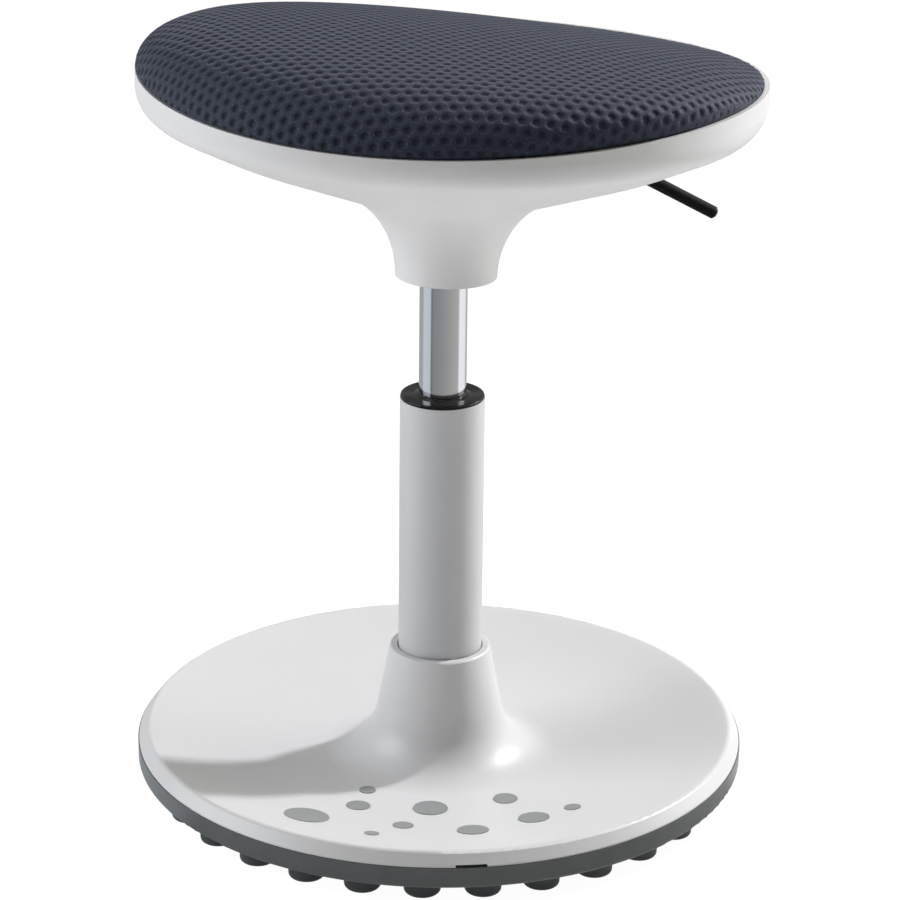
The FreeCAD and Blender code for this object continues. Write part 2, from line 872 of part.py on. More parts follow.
def cushion_board():
    """Board under the foam, with holes for the shanks of its pegs."""
    board = rod(board_radius, board_height, board_top)
    for angle in headings(peg_count, first_peg_heading):
        place = at(angle, peg_circle_radius, 0)
        radius = peg_shank_radius + fixed_gap
        board = board.cut(rod(radius, board_height - overrun, board_top + overrun, place))
    return tilt(board)


def board_pegs():
    """Push-in pegs that hold the board in the sockets of the seat shell."""
    pegs = []
    for angle in headings(peg_count, first_peg_heading):
        place = at(angle, peg_circle_radius, 0)
        body = rod(peg_radius, board_height - peg_depth, board_height, place)
        shank = rod(peg_shank_radius, board_height, board_top, place)
        pegs.append(tilt(body.fuse(shank).removeSplitter()))
    return Part.makeCompound(pegs)


def shell_room(height):
    """Inner radius of the seat shell in its rounded corner, at a height."""
    half_turn = math.radians(90 - seat_rim_slope) / 2
    centre_height = seat_corner_height + seat_corner_round * math.tan(half_turn)
    drop = max(centre_height - height, 0)
    inner = seat_corner_round - seat_wall
    return seat_radius - seat_corner_round + math.sqrt(inner * inner - drop * drop)


def crown(angle, radius):
    """Thickness of the cushion over the rim line: high at one side, low at the other."""
    turn = math.radians(angle - cushion_fall_heading)
    return cushion_crown - cushion_fall * radius / cushion_edge * math.cos(turn)


def cushion_height(angle, radius, inset):
    """Height of the cushion's top at a heading and a distance from the axis."""
    share = radius / cushion_edge
    inward = max(radius - (cushion_edge - cushion_edge_width), 0) / cushion_edge_width
    edge_share = math.sqrt(max(1 - inward ** edge_power, 0))
    dome = cushion_dome * (1 - share * share)
    return saddle(angle, radius) + dome + crown(angle, radius) * edge_share - inset


def cushion_section(heights, radius):
    """Closed section of arcs whose height may change with the heading."""
    arcs = []
    turn = 360 / arc_count
    for start in headings(arc_count, saddle_heading):
        ends = [at(angle, radius, heights(angle)) for angle in (start, start + turn / 2, start + turn)]
        arcs.append(Part.Arc(*ends).toShape())
    return Part.Wire(arcs)


def cushion_solid(inset, bottom):
    """Cushion with drawn-in sides and a crown, all of it inset by a skin's thickness."""
    rim = cushion_edge - inset
    sections = []
    for share in wall_height_shares:
        height = bottom + (seat_rim_height - saddle_drop - inset - bottom) * share
        radius = shell_room(height) - seam_gap - inset
        sections.append(cushion_section(lambda angle: height, radius))
    sections.append(cushion_section(lambda angle: saddle(angle, rim) - inset, rim))
    for edge_share in edge_height_shares:
        inward = (1 - edge_share * edge_share) ** (1 / edge_power)
        radius = cushion_edge - cushion_edge_width * (1 - inward)
        narrowed = radius * rim / cushion_edge
        sections.append(cushion_section(lambda angle: cushion_height(angle, radius, inset), narrowed))
    for share in dome_radius_shares:
        radius = (cushion_edge - cushion_edge_width) * share
        sections.append(cushion_section(lambda angle: cushion_height(angle, radius, inset), radius))
    middle = seat_rim_height + cushion_dome - inset
    cap = cushion_cap_radius
    sections.append(cushion_section(lambda angle: middle + crown(angle, cap), cap))
    return Part.makeLoft(sections, True, True)


def seat_foam():
    """Foam pad on the board, thick at one side and low at the other."""
    return tilt(cushion_solid(cover_thickness + foam_gap, board_top + foam_gap))


def seat_cover():
    """Thick spacer-mesh cover over the foam and down around the board."""
    outer = cushion_solid(0, board_height)
    room = cushion_solid(cover_thickness, board_height - overrun / 2)
    below = rod(board_radius + foam_gap, board_height - overrun, board_top)
    return tilt(outer.cut(room).cut(below))


save("rubber_sole", rubber_sole())
save("sole_studs", sole_studs())
save("ballast_plate", ballast_plate())
save("column_hub", column_hub())
save("base_shell", base_shell())
save("base_screws", base_screws())
save("window_inlays", window_inlays())
save("column_tube", column_tube())
save("column_end_plate", column_end_plate())
save("guide_bush", guide_bush())
save("lower_race", race(bearing_bottom))
save("bearing_balls", bearing_balls())
save("ball_cage", ball_cage())
save("upper_race", race(upper_race_bottom))
save("piston_rod", piston_rod())
save("piston", piston())
save("bump_stop", bump_stop())
save("rod_clip", rod_clip())
save("gas_cylinder", gas_cylinder())
save("pressure_tube", pressure_tube())
save("rod_gland", rod_gland())
save("valve_body", valve_body())
save("valve_spring", valve_spring())
save("release_pin", release_pin())
save("seat_shell", seat_shell())
save("seat_plate", seat_plate())
save("seat_plate_screws", seat_plate_screws())
save("taper_socket", taper_socket())
save("lever", lever())
save("lever_plug", lever_plug())
save("lever_pin", lever_pin())
save("cushion_board", cushion_board())
save("board_pegs", board_pegs())
save("seat_foam", seat_foam())
save("seat_cover", seat_cover())
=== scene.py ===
import bpy
import bmesh
import math
from mathutils import Matrix, Vector
from mathutils.bvhtree import BVHTree


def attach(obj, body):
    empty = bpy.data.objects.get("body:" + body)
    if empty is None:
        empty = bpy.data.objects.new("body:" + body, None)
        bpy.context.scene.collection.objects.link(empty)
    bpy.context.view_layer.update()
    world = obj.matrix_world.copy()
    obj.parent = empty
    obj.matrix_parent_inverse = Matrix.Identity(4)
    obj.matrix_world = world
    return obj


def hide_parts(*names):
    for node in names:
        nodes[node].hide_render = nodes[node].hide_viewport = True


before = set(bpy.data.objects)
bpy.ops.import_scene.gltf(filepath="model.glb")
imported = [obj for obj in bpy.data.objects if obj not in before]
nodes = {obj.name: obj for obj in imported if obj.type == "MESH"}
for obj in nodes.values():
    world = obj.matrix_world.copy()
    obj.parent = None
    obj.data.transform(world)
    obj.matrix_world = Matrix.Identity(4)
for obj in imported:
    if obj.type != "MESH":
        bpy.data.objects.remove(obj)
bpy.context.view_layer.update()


# Rubber sole
# A pan of grey natural rubber, moulded in one shot under the rim of the base. The mould's fine grain gives
# it a broken satin sheen, and its grey drifts a little from patch to patch. Here and below, a grit that is
# too fine to show is drawn about a millimetre wide.

def linear(code):
    """Linear colour of an sRGB hex value."""
    parts = [int(code[start:start + 2], 16) / 255 for start in (0, 2, 4)]
    return [part / 12.92 if part <= 0.04045 else ((part + 0.055) / 1.055) ** 2.4 for part in parts] + [1]


def add(tree, kind, sockets=None, **settings):
    """Adds a node; a socket's value is a plain value, or the output that is linked to it."""
    node = tree.nodes.new(kind)
    for name, value in settings.items():
        setattr(node, name, value)
    for name, value in (sockets or {}).items():
        if isinstance(value, bpy.types.NodeSocket):
            tree.links.new(value, node.inputs[name])
        else:
            node.inputs[name].default_value = value
    return node


def blank(name, **surface):
    """New material with one surface shader, whose plain values are set on its sockets."""
    material = bpy.data.materials.new(name)
    material.use_nodes = True
    tree = material.node_tree
    shader = tree.nodes["Principled BSDF"]
    for socket, value in surface.items():
        shader.inputs[socket.replace("_", " ")].default_value = value
    place = add(tree, "ShaderNodeTexCoord").outputs["Object"]
    return material, tree, shader, place


def grain(tree, place, size, detail, stretch=(1, 1, 1)):
    """Noise whose grains are about size metres wide."""
    if stretch != (1, 1, 1):
        place = add(tree, "ShaderNodeMapping", {"Vector": place, "Scale": stretch}).outputs["Vector"]
    noise = add(tree, "ShaderNodeTexNoise", {"Vector": place, "Scale": 1 / size, "Detail": detail})
    return noise.outputs["Fac"]


def blend(tree, share, low, high):
    """Colour that goes from low to high as the share rises."""
    mixed = add(tree, "ShaderNodeMix", {"Factor": share, "A": low, "B": high}, data_type="RGBA")
    return mixed.outputs["Result"]


def relief(tree, shader, height, depth):
    """Bumps the surface by a height pattern that is depth metres deep."""
    bump = add(tree, "ShaderNodeBump", {"Height": height, "Distance": depth, "Strength": 1.0})
    tree.links.new(bump.outputs["Normal"], shader.inputs["Normal"])


def finish(name, dark, light, patch, grit, depth, **surface):
    """Material whose tone drifts between two close ones in soft patches, over a fine relief."""
    material, tree, shader, place = blank(name, **surface)
    tone = blend(tree, grain(tree, place, **patch), linear(dark), linear(light))
    tree.links.new(tone, shader.inputs["Base Color"])
    relief(tree, shader, grain(tree, place, **grit), depth)
    return material


def clothe(material, *packed):
    """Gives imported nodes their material."""
    for name in packed:
        mesh = nodes[name].data
        mesh.materials.clear()
        mesh.materials.append(material)


moulded_rubber = finish("moulded rubber, grey", dark="5b5f60", light="696d6e",
                        patch=dict(size=0.018, detail=4), grit=dict(size=0.0009, detail=3), depth=0.00003,
                        Roughness=0.36, IOR=1.52)
clothe(moulded_rubber, "rubber_sole")


# Studs
# Thirty short pegs with rounded tips under the sole, on which the stool rocks.
# Their rubber is painted a darker grey than the sole's, as shade under the base, and is a little less glossy.

shaded_stud_rubber = finish("moulded rubber, dark grey", dark="474d50", light="555c5f",
                     patch=dict(size=0.012, detail=4), grit=dict(size=0.0009, detail=3), depth=0.00003,
                     Roughness=0.4, IOR=1.52)
clothe(shaded_stud_rubber, "sole_studs")


# Ballast plate, hub and base screws
# A flame-cut steel disc, primed dark and dull, lies in the base, where its weight brings the stool back
# upright. The hub on it and the screws that hold the shell are zinc-plated, with a pale, broken shine, and
# so are other small steel parts of the column and the seat.

primed_steel = finish("primed steel", dark="26282a", light="34373a",
                      patch=dict(size=0.01, detail=5), grit=dict(size=0.0015, detail=3), depth=0.00004,
                      Roughness=0.6, Metallic=0.2)
clothe(primed_steel, "ballast_plate")

zinc_steel = finish("zinc-plated steel", dark="9da1a3", light="b9bcbe",
                    patch=dict(size=0.004, detail=4), grit=dict(size=0.0006, detail=2), depth=0.00001,
                    Roughness=0.35, Metallic=1.0)
clothe(zinc_steel, "column_hub", "base_screws", "column_end_plate", "piston", "seat_plate_screws",
       "lever_pin")


# Base shell
# Injection-moulded white ABS: a dished disc that sweeps up into a trumpet around the column.
# The mould is finely spark-eroded, so it has a satin face with soft, wide highlights.

moulded_abs = finish("moulded ABS, white", dark="dfdfdf", light="e4e4e4",
                     patch=dict(size=0.09, detail=2), grit=dict(size=0.0006, detail=2), depth=0.000006,
                     Roughness=0.4, IOR=1.53)
clothe(moulded_abs, "base_shell")


# Window inlays
# Ten soft grey rubber discs pressed into round windows of the shell from inside.
# They lie just below its face and are duller than it is.

inlay_rubber = finish("moulded rubber, light grey", dark="8d908f", light="999c9b",
                      patch=dict(size=0.006, detail=3), grit=dict(size=0.0007, detail=3), depth=0.00002,
                      Roughness=0.5, IOR=1.52)
clothe(inlay_rubber, "window_inlays")


# Column tube
# Steel tube that stands in the hub, with a baked white powder coat.
# The coat's flow in the oven leaves a soft gloss and a faint orange peel.

powder_coat = finish("powder-coated steel, white", dark="cdcecf", light="d3d4d5",
                     patch=dict(size=0.05, detail=2), grit=dict(size=0.0022, detail=3), depth=0.00002,
                     Roughness=0.42, IOR=1.5)
clothe(powder_coat, "column_tube")


# Guide bush
# Black acetal sleeve pressed into the top of the tube, in which the gas cylinder slides.
# Its flange is turned smooth and keeps a mirror gloss.

gloss_acetal = finish("moulded acetal, black", dark="0b0b0c", light="121314",
                      patch=dict(size=0.006, detail=3), grit=dict(size=0.001, detail=2), depth=0.000008,
                      Roughness=0.16, IOR=1.48, Specular_IOR_Level=0.3)
clothe(gloss_acetal, "guide_bush")


# Thrust bearing, rod, bump stop and clip
# Ground steel races, balls and rod, a nylon cage and a rubber stop, all inside the column; the tube, the
# spring and the pin inside the gas spring are of the same steel. It is bright with fine upright streaks,
# the nylon is pale and waxy, and the rubber is dull.

ground_steel = finish("ground steel", dark="8f9296", light="a5a8ab",
                      patch=dict(size=0.004, detail=3),
                      grit=dict(size=0.0008, detail=2, stretch=(1, 1, 0.05)), depth=0.000006,
                      Roughness=0.22, Metallic=1.0)
clothe(ground_steel, "lower_race", "bearing_balls", "upper_race", "piston_rod", "rod_clip",
       "pressure_tube", "valve_spring", "release_pin")

nylon = finish("moulded nylon, natural", dark="c6c2b4", light="d2cfc3",
               patch=dict(size=0.006, detail=3), grit=dict(size=0.0008, detail=2), depth=0.00001,
               Roughness=0.5, IOR=1.53)
clothe(nylon, "ball_cage", "rod_gland", "board_pegs")

stop_rubber = finish("moulded rubber, black", dark="1a1b1c", light="232425",
                     patch=dict(size=0.006, detail=3), grit=dict(size=0.0008, detail=3), depth=0.00003,
                     Roughness=0.7, IOR=1.52)
clothe(stop_rubber, "bump_stop")


# Gas cylinder and its valve
# Drawn steel tube, hard-chromed and polished, with faint lengthwise drawing lines.
# The valve body, of brass with fine rings from the lathe, closes its upper end inside the seat.

chromed_steel = finish("chromed steel, polished", dark="dee1e5", light="e7e9ec",
                       patch=dict(size=0.02, detail=2),
                       grit=dict(size=0.0012, detail=2, stretch=(1, 1, 0.02)), depth=0.000004,
                       Roughness=0.13, Metallic=1.0)
clothe(chromed_steel, "gas_cylinder")

turned_brass = finish("turned brass", dark="ab8846", light="bd9a57",
                      patch=dict(size=0.004, detail=3),
                      grit=dict(size=0.0006, detail=2, stretch=(0.05, 0.05, 1)), depth=0.000008,
                      Roughness=0.28, Metallic=1.0)
clothe(turned_brass, "valve_body")


# Seat shell
# Injection-moulded like the base, with a rounded rim, a dished underside and a trumpet neck.
# It has the same white ABS and the same satin face.

clothe(moulded_abs, "seat_shell")


# Seat plate and taper socket
# Pressed steel plate with a socket pushed on the cylinder's taper, hidden in the shell.
# Both have a thin black powder coat, which is fairly glossy.

black_coat = finish("powder-coated steel, black", dark="121314", light="1b1c1e",
                    patch=dict(size=0.02, detail=3), grit=dict(size=0.0016, detail=3), depth=0.000015,
                    Roughness=0.3, IOR=1.5)
clothe(black_coat, "seat_plate", "taper_socket")


# Release lever
# Round steel bar, bent once, with a soft black dip coat that swallows light.
# A bevelled plug of moulded plastic, a little less dull, sits flush in its end.

dip_coat = finish("vinyl-dipped steel, black", dark="0a0a0b", light="101011",
                  patch=dict(size=0.01, detail=3), grit=dict(size=0.0012, detail=2), depth=0.00001,
                  Roughness=0.75, IOR=1.45, Specular_IOR_Level=0.2)
clothe(dip_coat, "lever")

moulded_plug = finish("moulded polypropylene, black", dark="0c0c0d", light="131314",
                      patch=dict(size=0.004, detail=3), grit=dict(size=0.0005, detail=2), depth=0.00001,
                      Roughness=0.6, IOR=1.49)
clothe(moulded_plug, "lever_plug")


# Cushion board
# Birch plywood disc under the foam, held in the shell by nylon pegs.
# Its pale grain runs from front to back.

plywood = finish("birch plywood", dark="b8925c", light="cfae7c",
                 patch=dict(size=0.006, detail=5, stretch=(1, 0.08, 1)),
                 grit=dict(size=0.001, detail=3, stretch=(1, 0.06, 1)), depth=0.00004,
                 Roughness=0.6, IOR=1.45)
clothe(plywood, "cushion_board")


# Foam pad
# Moulded polyurethane foam on the board: a saddle with a rounded shoulder, thick at the front left, with a
# tight, overhanging edge at the front right. It swells a little like a blown skin, which leaves it taut and
# evenly rounded, and it is then held within the room that the cover leaves it.

seat_middle = 0.3138
seat_shift = 0.0013
lean = math.radians(1.7)
lean_heading = math.radians(45)
rim_height = 0.4316
saddle_drop = 0.0043
saddle_heading = math.radians(20)
cushion_edge = 0.1764
shoulder = 0.052
shoulder_power = 2.4
middle_stack = 0.0156
stack_fall = 0.0166
thin_heading = math.radians(30)
dome = 0.0108
bulge = 0.0031
belly_from = 0.0073
belly_full = 0.0193
side_lift = 0.0016
most_lift_share = 0.4
tight_heading = math.radians(142)
tight_spread = math.radians(32)
tight_lift_share = 0.5
tight_shoulder = 0.024
tucked_edge = 0.1759
pad_foot = 0.4206
pad_skin = 0.0045
pad_slack = 0.0006
cover_room = 0.0032
foot_room = 0.0002
quarter_turn = 90
crest_steps = 24
side_steps = 6
foot_steps = 4
pad_turns = 96
pad_merge = 0.0002
net_size = 0.004
held_height = 0.006
swell_pressure = 4
swell_frames = 20
most_move = 0.002

leaning = (Matrix.Translation((seat_shift, 0, seat_middle))
           @ Matrix.Rotation(lean, 4, Vector((-math.cos(lean_heading), math.sin(lean_heading), 0)))
           @ Matrix.Translation((0, 0, -seat_middle)))


def rim_line(heading, across=1):
    """Height of the seat's rim line at a heading, or of the saddle inside it, before the lean."""
    return rim_height - saddle_drop * across ** 2 * math.cos(2 * (heading - saddle_heading))


def stack(heading, across=1):
    """Thickness of the cushion over its rim line at a heading and a share of its radius."""
    return middle_stack - stack_fall * across * math.cos(heading - thin_heading)


def reach_out(heading):
    """How far the side bellies out over the edge: nothing where the cushion is thin."""
    return bulge * min(max((stack(heading) - belly_from) / (belly_full - belly_from), 0), 1)


def tightness(heading):
    """Share of the tight, overhanging edge that the pad has at a heading."""
    apart = (heading - tight_heading + math.pi) % (2 * math.pi) - math.pi
    return math.exp(-(apart / tight_spread) ** 2)


def shoulder_at(heading):
    """Width of the rounded shoulder, narrower where the edge is tight."""
    return shoulder - (shoulder - tight_shoulder) * tightness(heading)


def crest(heading, radius):
    """Height of the cushion's top at a heading and a distance from the middle, before the lean."""
    across = min(radius / cushion_edge, 1)
    width = shoulder_at(heading)
    inward = min(max(radius - (cushion_edge - width), 0) / (width + reach_out(heading)), 1)
    thick = stack(heading, across)
    lift = max(min(side_lift, thick * most_lift_share), 0)
    lift += max(thick, 0) * tight_lift_share * tightness(heading)
    low = rim_line(heading, across) + dome * (1 - across ** 2) + lift
    return low + (thick - lift) * math.sqrt(1 - inward ** shoulder_power)


def profile(heading, foot, inset):
    """Points from the cushion's middle over its shoulder, in under it and down to its foot."""
    flat = cushion_edge - shoulder_at(heading)
    widest = cushion_edge + reach_out(heading)
    quarter = math.radians(quarter_turn)
    radii = [flat * step / crest_steps for step in range(crest_steps)]
    radii += [flat + (widest - flat) * math.sin(quarter * step / crest_steps)
              for step in range(crest_steps + 1)]
    line = [(radius, crest(heading, radius)) for radius in radii]
    top, rim = line[-1][1], rim_line(heading)
    for step in range(1, side_steps + 1):
        turn = math.radians(quarter_turn * step / side_steps)
        radius = tucked_edge + (widest - tucked_edge) * math.cos(turn)
        line.append((radius, top + (rim - top) * math.sin(turn)))
    line += [(tucked_edge, rim + (foot - rim) * step / foot_steps) for step in range(1, foot_steps + 1)]
    normals = []
    for index in range(len(line)):
        before, after = line[max(index - 1, 0)], line[min(index + 1, len(line) - 1)]
        run, rise = after[0] - before[0], after[1] - before[1]
        length = math.hypot(run, rise)
        normals.append((-rise / length, run / length))
    normals[0] = (0, 1)
    return [(max(point[0] - normal[0] * inset, 0), point[1] - normal[1] * inset)
            for point, normal in zip(line, normals)]


def on_seat(heading, radius, height):
    """Point on the leaning seat from its heading, radius and height before the lean."""
    return leaning @ Vector((radius * math.sin(heading), radius * math.cos(heading), height))


work = bmesh.new()
rings = []
for turn in range(pad_turns):
    heading = 2 * math.pi * turn / pad_turns
    line = profile(heading, pad_foot + pad_slack, pad_skin + pad_slack)
    rings.append([work.verts.new(on_seat(heading, *point)) for point in line])
for ring, beyond in zip(rings, rings[1:] + rings[:1]):
    for index in range(len(ring) - 1):
        work.faces.new((ring[index], ring[index + 1], beyond[index + 1], beyond[index]))
work.faces.new([ring[-1] for ring in rings])
bmesh.ops.remove_doubles(work, verts=work.verts, dist=pad_merge)
bmesh.ops.recalc_face_normals(work, faces=work.faces)
pad_mesh = bpy.data.meshes.new("foam_pad")
work.to_mesh(pad_mesh)
work.free()
foam_pad = bpy.data.objects.new("foam_pad", pad_mesh)
bpy.context.scene.collection.objects.link(foam_pad)


def applied(piece):
    """Bakes a piece's modifiers into its mesh."""
    graph = bpy.context.evaluated_depsgraph_get()
    mesh = bpy.data.meshes.new_from_object(piece.evaluated_get(graph), depsgraph=graph)
    piece.modifiers.clear()
    piece.data = mesh


remesh = foam_pad.modifiers.new("even net", "REMESH")
remesh.mode = "VOXEL"
remesh.voxel_size = net_size
applied(foam_pad)
start = [vertex.co.copy() for vertex in foam_pad.data.vertices]
held = foam_pad.vertex_groups.new(name="held")
held.add([vertex.index for vertex in foam_pad.data.vertices
          if (leaning.inverted() @ vertex.co).z < pad_foot + held_height], 1.0, "REPLACE")
cloth = foam_pad.modifiers.new("swell", "CLOTH")
cloth.settings.quality = 5
cloth.settings.use_pressure = True
cloth.settings.uniform_pressure_force = swell_pressure
cloth.settings.vertex_group_mass = "held"
cloth.settings.effector_weights.gravity = 0
cloth.point_cache.frame_start = 1
cloth.point_cache.frame_end = swell_frames
for step in range(1, swell_frames + 1):
    bpy.context.scene.frame_set(step)
applied(foam_pad)
bpy.context.scene.frame_set(1)
for vertex, place_before in zip(foam_pad.data.vertices, start):
    move = vertex.co - place_before
    if move.length > most_move:
        vertex.co = place_before + move * (most_move / move.length)
smooth = foam_pad.modifiers.new("smooth", "SMOOTH")
smooth.factor = 0.5
smooth.iterations = 6
finer = foam_pad.modifiers.new("finer", "SUBSURF")
finer.levels = finer.render_levels = 1
applied(foam_pad)
foam_pad.vertex_groups.clear()
for vertex in foam_pad.data.vertices:
    spot = leaning.inverted() @ vertex.co
    heading = math.atan2(spot.x, spot.y)
    radius = min(math.hypot(spot.x, spot.y), tucked_edge - cover_room)
    height = max(min(spot.z, crest(heading, radius) - cover_room), pad_foot + foot_room)
    vertex.co = on_seat(heading, radius, height)
for face in foam_pad.data.polygons:
    face.use_smooth = True

open_foam = finish("moulded polyurethane foam", dark="cfc48f", light="e2d9ac",
                   patch=dict(size=0.003, detail=3), grit=dict(size=0.0008, detail=2), depth=0.0003,
                   Roughness=0.9, IOR=1.4)
foam_pad.data.materials.clear()
foam_pad.data.materials.append(open_foam)
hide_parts("seat_foam")
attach(foam_pad, "seat")


# Mesh cover
# Spacer-mesh polyester, knitted dark navy with an open honeycomb face, drawn taut over the foam and tucked
# between foam and rim. Its holes, 8 mm apart, are painted darker towards their bottoms as shade in them, and
# grow shallow where the cloth turns under; pale flecks over the cloth are painted glints of lit stray fibres.

hole_pitch = 0.0080
row_pitch = 0.0069
hole_width = 0.0050
hole_height = 0.0044
hole_depth = 0.0007
hole_bottom_share = 0.86
hole_middle_share = 1.1
mouth_depth = 0.00015
mouth_shade = 0.15
past_edge_share = 0.4
spare_cells = 2
turned_under = 0.3
tuck = 0.010
cover_skin = 0.0042
follow_share = 0.4
most_swell = 0.0006
keys_per_metre = 1e5
shortest_edge = 0.00002
cover_merge = 0.00005
full_turn = 360

pad_tree = BVHTree.FromObject(foam_pad, bpy.context.evaluated_depsgraph_get())
courses = []
for turn in range(full_turn + 1):
    heading = math.radians(turn)
    line = profile(heading, rim_line(heading) - tuck, 0)
    lengths = [0]
    for before, after in zip(line, line[1:]):
        lengths.append(lengths[-1] + math.dist(before, after))
    courses.append((line, lengths))


def along(line, lengths, reach):
    """Point and outward normal at a distance along a profile."""
    reach = min(max(reach, 0), lengths[-1])
    index = 0
    while index < len(lengths) - 2 and lengths[index + 1] < reach:
        index += 1
    before, after = line[index], line[index + 1]
    share = (reach - lengths[index]) / (lengths[index + 1] - lengths[index])
    run, rise = after[0] - before[0], after[1] - before[1]
    length = math.hypot(run, rise)
    return (before[0] + run * share, before[1] + rise * share, -rise / length, run / length)


def between(heading):
    """The courses on either side of a heading, and its share of the way from the first to the second."""
    turn = math.degrees(heading) % full_turn
    low = min(int(turn), full_turn - 1)
    return courses[low], courses[low + 1], turn - low


def on_cover(across, back, depth):
    """Point of the cover at a place on the flat cloth and a depth in the knit; it follows the foam softly."""
    heading = math.atan2(across, back) % (2 * math.pi)
    reach = math.hypot(across, back)
    left, right, share = between(heading)
    ends = zip(along(*left, reach), along(*right, reach))
    radius, height, out, rise = [start + (end - start) * share for start, end in ends]
    outward = Vector((out * math.sin(heading), out * math.cos(heading), rise)).normalized()
    outward = (leaning.to_3x3() @ outward).normalized()
    point = on_seat(heading, radius, height)
    swell = (cover_skin - pad_tree.find_nearest(point)[3]) * follow_share * max(rise, 0)
    point = point + outward * max(min(swell, most_swell), -most_swell)
    facing = min(max(1 + rise / turned_under, 0), 1)
    return point - outward * depth * facing


def flat_limit(heading):
    """Length of the cover's profile at a heading."""
    left, right, share = between(heading)
    return left[1][-1] * (1 - share) + right[1][-1] * share


corner_drop = (row_pitch ** 2 - hole_pitch ** 2 / 4) / (2 * row_pitch)
corners = [(0, row_pitch - corner_drop), (hole_pitch / 2, corner_drop), (hole_pitch / 2, -corner_drop),
           (0, corner_drop - row_pitch), (-hole_pitch / 2, -corner_drop), (-hole_pitch / 2, corner_drop)]
outline = []
for corner, following in zip(corners, corners[1:] + corners[:1]):
    outline.append(corner)
    outline.append(((corner[0] + following[0]) / 2, (corner[1] + following[1]) / 2))

work = bmesh.new()
flat = work.verts.layers.float_vector.new("flat")
# Each vertex holds its share of the painted shade in the holes: none on the webs, a little at a mouth, all at
# a bottom.
hole_shade = work.verts.layers.float.new("hole_shade")
shared = {}


def knot(across, back, depth, shade_share, key=None):
    """Vertex of the cover; one with a key is shared between cells."""
    if key in shared:
        return shared[key]
    reach = math.hypot(across, back)
    limit = flat_limit(math.atan2(across, back))
    if reach > limit:
        across, back, depth = across * limit / reach, back * limit / reach, 0
    vertex = work.verts.new(on_cover(across, back, depth))
    vertex[flat] = (across, back, 0)
    vertex[hole_shade] = shade_share
    if key is not None:
        shared[key] = vertex
    return vertex


longest = max(lengths[-1] for line, lengths in courses)
rows = int(longest / row_pitch) + spare_cells
columns = int(longest / hole_pitch) + spare_cells
for row in range(-rows, rows + 1):
    for column in range(-columns, columns + 1):
        middle = ((column + (row % 2) / 2) * hole_pitch, row * row_pitch)
        if math.hypot(*middle) > flat_limit(math.atan2(*middle)) + hole_pitch * past_edge_share:
            continue
        rim, mouth, bottom = [], [], []
        for across, back in outline:
            edge = (middle[0] + across, middle[1] + back)
            key = (round(edge[0] * keys_per_metre), round(edge[1] * keys_per_metre))
            rim.append(knot(*edge, 0, 0, key))
            bearing = math.atan2(across / hole_width, back / hole_height)
            hole = (math.sin(bearing) * hole_width / 2, math.cos(bearing) * hole_height / 2)
            mouth.append(knot(middle[0] + hole[0], middle[1] + hole[1], mouth_depth, mouth_shade))
            deep = (middle[0] + hole[0] * hole_bottom_share, middle[1] + hole[1] * hole_bottom_share)
            bottom.append(knot(*deep, hole_depth, 1))
        heart = knot(*middle, hole_depth * hole_middle_share, 1)
        for index in range(len(outline)):
            after = (index + 1) % len(outline)
            for ring, inner in ((rim, mouth), (mouth, bottom)):
                work.faces.new((ring[index], inner[index], inner[after], ring[after]))
            work.faces.new((bottom[index], heart, bottom[after]))
bmesh.ops.dissolve_degenerate(work, edges=work.edges, dist=shortest_edge)
bmesh.ops.remove_doubles(work, verts=work.verts, dist=cover_merge)
bmesh.ops.holes_fill(work, edges=[edge for edge in work.edges if edge.is_boundary], sides=0)
bmesh.ops.recalc_face_normals(work, faces=work.faces)
bmesh.ops.triangulate(work, faces=work.faces)
cover_mesh = bpy.data.meshes.new("mesh_cover")
work.to_mesh(cover_mesh)
work.free()
flat_place = cover_mesh.attributes["flat"].data
cloth_map = cover_mesh.uv_layers.new(name="cloth").data
for loop in cover_mesh.loops:
    across, back, _ = flat_place[loop.vertex_index].vector
    cloth_map[loop.index].uv = (across, back)
for face in cover_mesh.polygons:
    face.use_smooth = True
mesh_cover = bpy.data.objects.new("mesh_cover", cover_mesh)
bpy.context.scene.collection.objects.link(mesh_cover)

spacer_mesh, tree, shader, _ = blank("spacer-mesh polyester, navy", Roughness=0.75, IOR=1.5,
                                     Specular_IOR_Level=0.3, Sheen_Weight=0.1, Sheen_Roughness=0.4)
cloth_place = add(tree, "ShaderNodeUVMap", uv_map="cloth").outputs["UV"]
shade_share = add(tree, "ShaderNodeAttribute", attribute_name="hole_shade").outputs["Fac"]
yarn = grain(tree, cloth_place, size=0.0009, detail=3)
web = blend(tree, yarn, linear("1f2535"), linear("30374a"))
# Pale flecks over the web are painted glints of stray fibres lit by the key.
glint_noise = grain(tree, cloth_place, size=0.0006, detail=1, stretch=(1, 0.4, 1))
painted_glint = add(tree, "ShaderNodeMapRange", {"Value": glint_noise, "From Min": 0.66, "From Max": 0.74, "To Max": 0.6})
web = blend(tree, painted_glint.outputs["Result"], web, linear("7a8195"))
# The holes are painted darker towards their bottoms, as shade in them.
colour = blend(tree, shade_share, web, linear("1b202e"))
tree.links.new(colour, shader.inputs["Base Color"])
relief(tree, shader, yarn, depth=0.0002)
mesh_cover.data.materials.append(spacer_mesh)
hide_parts("seat_cover")
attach(mesh_cover, "seat")


# Studio
# A plain pale floor, a key lamp from the right and a little behind, a large soft box overhead, softer
# fills from both sides, and panels round the stool that only its shiny parts show, brightest on the right.
# The floor also sends light up under the seat, less of it near the base than further out.

